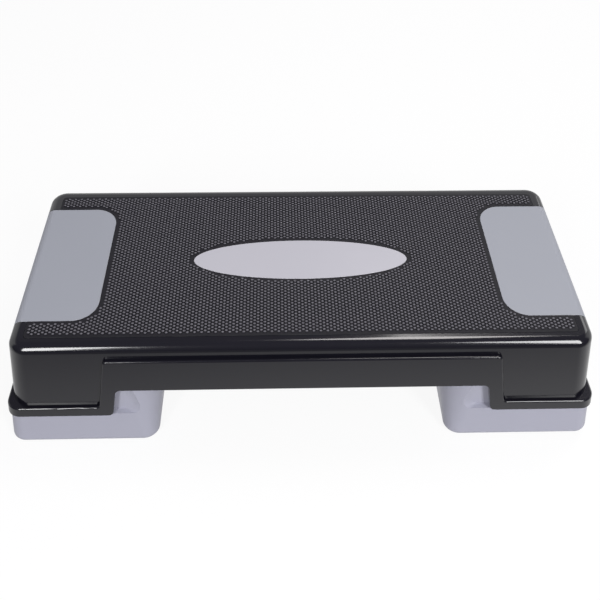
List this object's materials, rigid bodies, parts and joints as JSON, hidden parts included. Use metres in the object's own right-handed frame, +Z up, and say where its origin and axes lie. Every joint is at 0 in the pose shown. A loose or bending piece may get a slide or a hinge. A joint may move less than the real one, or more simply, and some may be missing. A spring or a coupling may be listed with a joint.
{
  "type": "aerobic step platform",
  "caption": "Low aerobic step: hollow moulded deck with a studded anti-slip tread and grey end panels, standing on plug-in risers that pull off to lower it.",
  "frame": {"origin": "on the floor under the middle of the deck", "axes": "+X along the length, -Y the front long side, +Z up"},
  "size_m": [0.686, 0.306, 0.1505],
  "materials": {
    "deck_plastic": "satin black moulded plastic",
    "mat_rubber": "studded black rubber",
    "badge_plastic": "satin silver-grey",
    "panel_plastic": "fine matte grey",
    "screw_steel": "zinc plated",
    "riser_plastic": "satin lilac grey",
    "foot_rubber": "matte black rubber"
  },
  "bodies": {
    "deck": {"deck_shell": "deck_plastic", "anti_slip_mat": "mat_rubber", "oval_badge": "badge_plastic", "left_end_panel": "panel_plastic", "left_panel_screws": "screw_steel", "left_front_rim_pad": "foot_rubber", "left_rear_rim_pad": "foot_rubber", "right_end_panel": "panel_plastic", "right_panel_screws": "screw_steel", "right_front_rim_pad": "foot_rubber", "right_rear_rim_pad": "foot_rubber"},
    "left_riser_body": {"left_riser": "riser_plastic", "left_riser_front_inner_foot": "foot_rubber", "left_riser_front_outer_foot": "foot_rubber", "left_riser_rear_inner_foot": "foot_rubber", "left_riser_rear_outer_foot": "foot_rubber"},
    "right_riser_body": {"right_riser": "riser_plastic", "right_riser_front_inner_foot": "foot_rubber", "right_riser_front_outer_foot": "foot_rubber", "right_riser_rear_inner_foot": "foot_rubber", "right_riser_rear_outer_foot": "foot_rubber"}
  },
  "joints": [
    {"name": "left_riser_pull", "type": "slide", "parent": "deck", "child": "left_riser_body", "axis": [0, 0, -1], "range_m": [0, 0.062]},
    {"name": "right_riser_pull", "type": "slide", "parent": "deck", "child": "right_riser_body", "axis": [0, 0, -1], "range_m": [0, 0.062]}
  ]
}
